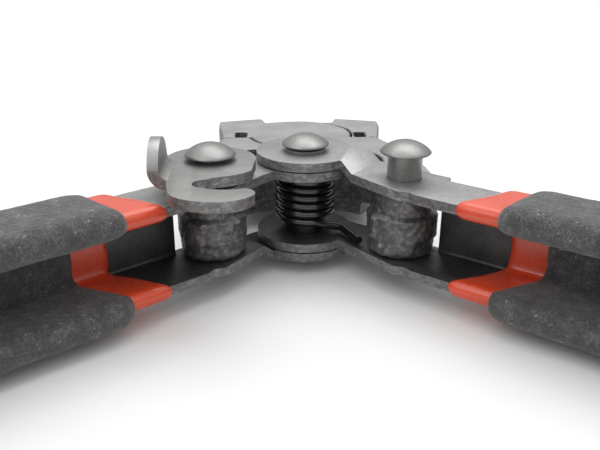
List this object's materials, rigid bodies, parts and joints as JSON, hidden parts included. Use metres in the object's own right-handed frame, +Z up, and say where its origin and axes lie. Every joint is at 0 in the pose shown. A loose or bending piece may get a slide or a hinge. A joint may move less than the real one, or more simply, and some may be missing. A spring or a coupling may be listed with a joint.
{
  "type": "mini bolt cutters",
  "caption": "Compound-action mini bolt cutters with channel handles, dipped grips, crossing lap-jointed jaws, an opening spring and a hook latch.",
  "frame": {"origin": "on the handle pivot's axis, at the centre of the pivot rivet's flat foot, level with that foot, the tool's lowest face", "axes": "+X right across the opened handles, +Y towards the cutting head, +Z up along the pivots"},
  "size_m": [0.2372, 0.1709, 0.0312],
  "materials": {
    "pressed_steel": "stamped sheet, phosphated and lightly worn",
    "dip_red": "glossy dipped vinyl",
    "grip_dark": "matt textured foam vinyl",
    "forged_steel": "forged, flats ground",
    "rivet_steel": "satin",
    "washer_steel": "satin",
    "sleeve_steel": "dark oiled",
    "spring_steel": "oiled spring wire",
    "latch_steel": "stamped sheet, tumbled"
  },
  "bodies": {
    "left_handle": {"left_handle_channel": "pressed_steel", "left_grip_liner": "dip_red", "left_grip_cover": "grip_dark", "left_jaw_rivet": "rivet_steel", "handle_pivot_rivet": "rivet_steel", "upper_pivot_washer": "washer_steel", "lower_pivot_washer": "washer_steel", "pivot_sleeve": "sleeve_steel", "opening_spring": "spring_steel", "latch_wave_washer": "washer_steel"},
    "right_handle": {"right_handle_channel": "pressed_steel", "right_grip_liner": "dip_red", "right_grip_cover": "grip_dark", "right_latch_stud": "rivet_steel"},
    "left_jaw": {"left_tail_jaw": "forged_steel", "jaw_pivot_pin": "rivet_steel"},
    "right_jaw": {"right_tail_jaw": "forged_steel"},
    "latch": {"latch_hook": "latch_steel"}
  },
  "joints": [
    {"name": "handles_close", "type": "hinge", "parent": "left_handle", "child": "right_handle", "pos_m": [0, 0, 0.013], "axis": [0, 0, -1], "range_deg": [0, 74.79], "stiffness_Nm_per_rad": 0.12, "springref_deg": -20.05, "deforming": ["opening_spring"]},
    {"name": "left_jaw_swing", "type": "hinge", "parent": "left_handle", "child": "left_jaw", "pos_m": [-0.01835, -0.01214, 0.013], "axis": [0, 0, -1], "range_deg": [0, 22.84]},
    {"name": "right_jaw_swing", "type": "hinge", "parent": "left_jaw", "child": "right_jaw", "pos_m": [0, 0.028, 0.013], "axis": [0, 0, -1], "range_deg": [0, 29.27]},
    {"name": "latch_turn", "type": "hinge", "parent": "left_handle", "child": "latch", "pos_m": [-0.01835, -0.01214, 0.013], "axis": [0, 0, 1], "range_deg": [0, 38.6]}
  ],
  "couplings": [
    {"joint": "left_jaw_swing", "follows": "handles_close", "ratio": 0.30467},
    {"joint": "right_jaw_swing", "follows": "handles_close", "ratio": 0.39066}
  ]
}
